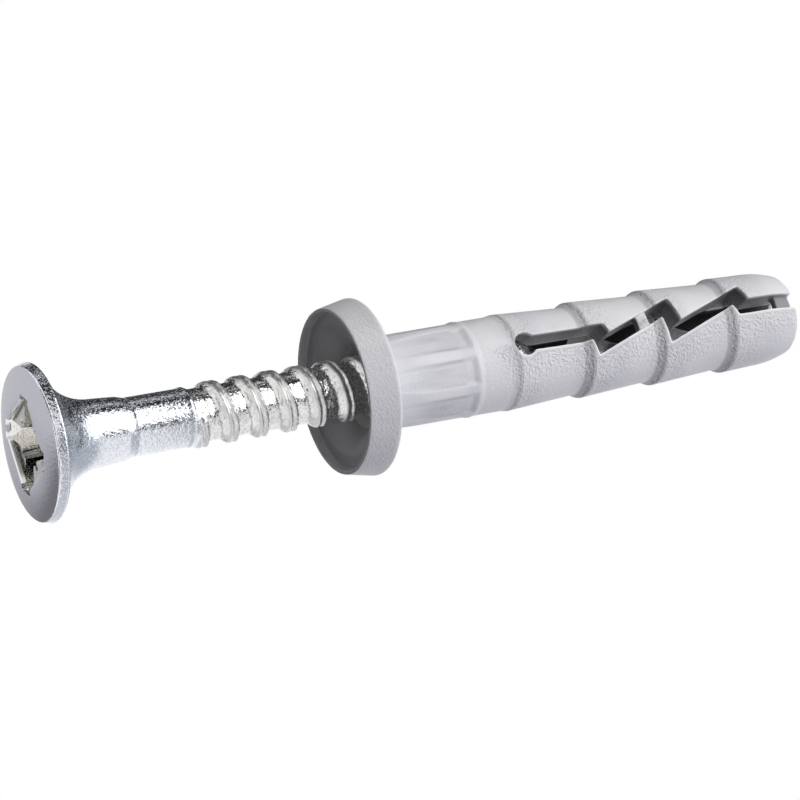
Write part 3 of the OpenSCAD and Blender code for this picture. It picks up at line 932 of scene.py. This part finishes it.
studio = {
    "floorSize": 2.4,  # m
    "floorDrop": 0.02,
    "floorColour": (0.86, 0.86, 0.86, 1),
    "floorRoughness": 0.9,
    "lampPlace": (24, 155, 270),
    "lampSize": (440, 400),
    "lampPower": 1.06,
    "aim": 25,
    "skyLow": 0.08,
    "skyHigh": 1.15,
    "skySpan": (-0.5, 0.8),
    "ceiling": (0.47, 0.5, 0.55, 1),  # what the metal sees overhead
    "ceilingFrom": (0.45, 0.75),
    "walls": (1.12, 1.12, 1.13, 1),
    "tintAbove": (0.87, 0.87, 0.865, 1),
    "tintBelow": (1.0, 1.0, 1.1, 1),
    "tintSpan": (-0.7, 0.3),
    "cardSteps": 16,
    "cards": (
        # name, from turn, to turn, from height, to height, radius, glow at either side, bluish share
        ("darkStageA", 62, 98, -100, 800, 300, 0.03, 0.03, 0.1),
        ("darkStageB", 105, 148, -100, 800, 300, 0.03, 0.03, 0.1),
        ("darkBehind", 148, 182, 100, 800, 300, 0.06, 0.06, 0.15),
        ("darkStrip", -21, -1, -150, 400, 300, 0.03, 0.03, 0.1),
        ("darkFront", -100, 150, -900, -380, 320, 0.05, 0.05, 0.0),
        ("rimShadeA", -34, -10, -70, 88, 290, 0.5, 0.35, 0.1),
        ("rimShadeB", -3, 22, -70, 88, 290, 0.35, 0.2, 0.1),
        ("rimShadeC", 29, 62, -70, 88, 290, 0.08, 0.08, 0.1),
        ("rimPale", -150, -34, -70, 88, 290, 0.75, 0.5, 0.06),
        ("faceWall", 148, 176, -700, 60, 330, 0.62, 0.6, 0.05),
        ("faceFade", 176, 192, -700, 60, 330, 0.62, 0.2, 0.06),
        ("faceLow", 192, 226, -700, 60, 330, 0.2, 0.2, 0.06),
    ),
}


def makeFloor():
    deselectAll()
    bpy.ops.mesh.primitive_plane_add(size=studio["floorSize"], location=(0, 0, 0))
    floor = bpy.context.object
    floor.name = "floor"
    bpy.ops.object.mode_set(mode="EDIT")
    bpy.ops.transform.translate(value=(0, 0, -studio["floorDrop"] * mm))
    bpy.ops.object.mode_set(mode="OBJECT")
    material, tree, surface = newMaterial("paleFloor")[:3]
    surface.inputs["Base Color"].default_value = studio["floorColour"]
    surface.inputs["Roughness"].default_value = studio["floorRoughness"]
    surface.inputs["Specular IOR Level"].default_value = 0.0
    light = addNode(tree, "ShaderNodeLightPath")
    facing = addNode(tree, "ShaderNodeNewGeometry").outputs["Backfacing"]
    seen = math2(tree, "MULTIPLY", light.outputs["Is Camera Ray"], math2(tree, "SUBTRACT", 1.0, facing))
    tree.links.new(seen, surface.inputs["Alpha"])
    floor.data.materials.append(material)


def makeCard(name, fromTurn, toTurn, fromHeight, toHeight, radius, fromGlow, toGlow, bluish):
    deselectAll()
    bpy.ops.mesh.primitive_grid_add(x_subdivisions=studio["cardSteps"], y_subdivisions=1, size=2)
    card = bpy.context.object
    card.name = name
    places = points(card)
    bent = [aroundPlug(fromTurn + (toTurn - fromTurn) * (x + 1) / 2,
                       fromHeight + (toHeight - fromHeight) * (y + 1) / 2, radius) for x, y, z in places]
    setPoints(card, np.array([tuple(b) for b in bent]))
    setAttribute(card, "glow", fromGlow + (toGlow - fromGlow) * (places[:, 0] + 1) / 2)
    material = bpy.data.materials.new(name)
    material.use_nodes = True
    tree = material.node_tree
    tree.nodes.remove(tree.nodes["Principled BSDF"])
    shine = addNode(tree, "ShaderNodeEmission", Color=(1, 1, 1 + bluish, 1))
    glow = addNode(tree, "ShaderNodeAttribute", attribute_name="glow").outputs["Fac"]
    tree.links.new(glow, shine.inputs["Strength"])
    tree.links.new(shine.outputs[0], tree.nodes["Material Output"].inputs["Surface"])
    card.data.materials.append(material)
    card.visible_camera = False
    card.visible_diffuse = False
    card.visible_shadow = False
    card.visible_transmission = False


def makeLamp():
    deselectAll()
    place = aroundPlug(*studio["lampPlace"])
    aim = (Vector((0, 0, studio["aim"] * mm)) - place).normalized()
    turn = aim.to_track_quat("-Z", "Y").to_euler()
    bpy.ops.object.light_add(type="AREA", location=place, rotation=turn)
    lamp = bpy.context.object
    lamp.name = "softBox"
    lamp.data.shape = "RECTANGLE"
    lamp.data.size = studio["lampSize"][0] * mm
    lamp.data.size_y = studio["lampSize"][1] * mm
    lamp.data.energy = studio["lampPower"]
    lamp.visible_camera = False


def makeWorld():
    world = bpy.data.worlds.new("studio")
    bpy.context.scene.world = world
    world.use_nodes = True
    tree = world.node_tree
    back = tree.nodes["Background"]
    split = addNode(tree, "ShaderNodeSeparateXYZ")
    direction = addNode(tree, "ShaderNodeTexCoord").outputs["Object"]
    tree.links.new(direction, split.inputs[0])
    upward = addNode(tree, "ShaderNodeVectorMath", operation="DOT_PRODUCT")
    upward.inputs[1].default_value = sideUp
    tree.links.new(direction, upward.inputs[0])
    sky = ramp(tree, split.outputs["Z"], *studio["skySpan"], studio["skyLow"], studio["skyHigh"])
    overhead = ramp(tree, split.outputs["Z"], *studio["ceilingFrom"])
    room = mixColours(tree, overhead, studio["walls"], studio["ceiling"])
    fromAbove = ramp(tree, upward.outputs["Value"], *studio["tintSpan"])
    soft = mixColours(tree, fromAbove, studio["tintBelow"], studio["tintAbove"])
    diffuse = addNode(tree, "ShaderNodeVectorMath", operation="SCALE")
    tree.links.new(soft, diffuse.inputs[0])
    tree.links.new(sky, diffuse.inputs["Scale"])
    light = addNode(tree, "ShaderNodeLightPath")
    seen = math2(tree, "MAXIMUM", light.outputs["Is Camera Ray"], light.outputs["Is Transmission Ray"])
    inMetal = mixColours(tree, light.outputs["Is Glossy Ray"], diffuse.outputs[0], room)
    tree.links.new(mixColours(tree, seen, inMetal, (1, 1, 1, 1)), back.inputs["Color"])


makeFloor()
for card in studio["cards"]:
    makeCard(*card)
makeLamp()
makeWorld()
bpy.context.scene.view_settings.view_transform = "Standard"
print("studio set")
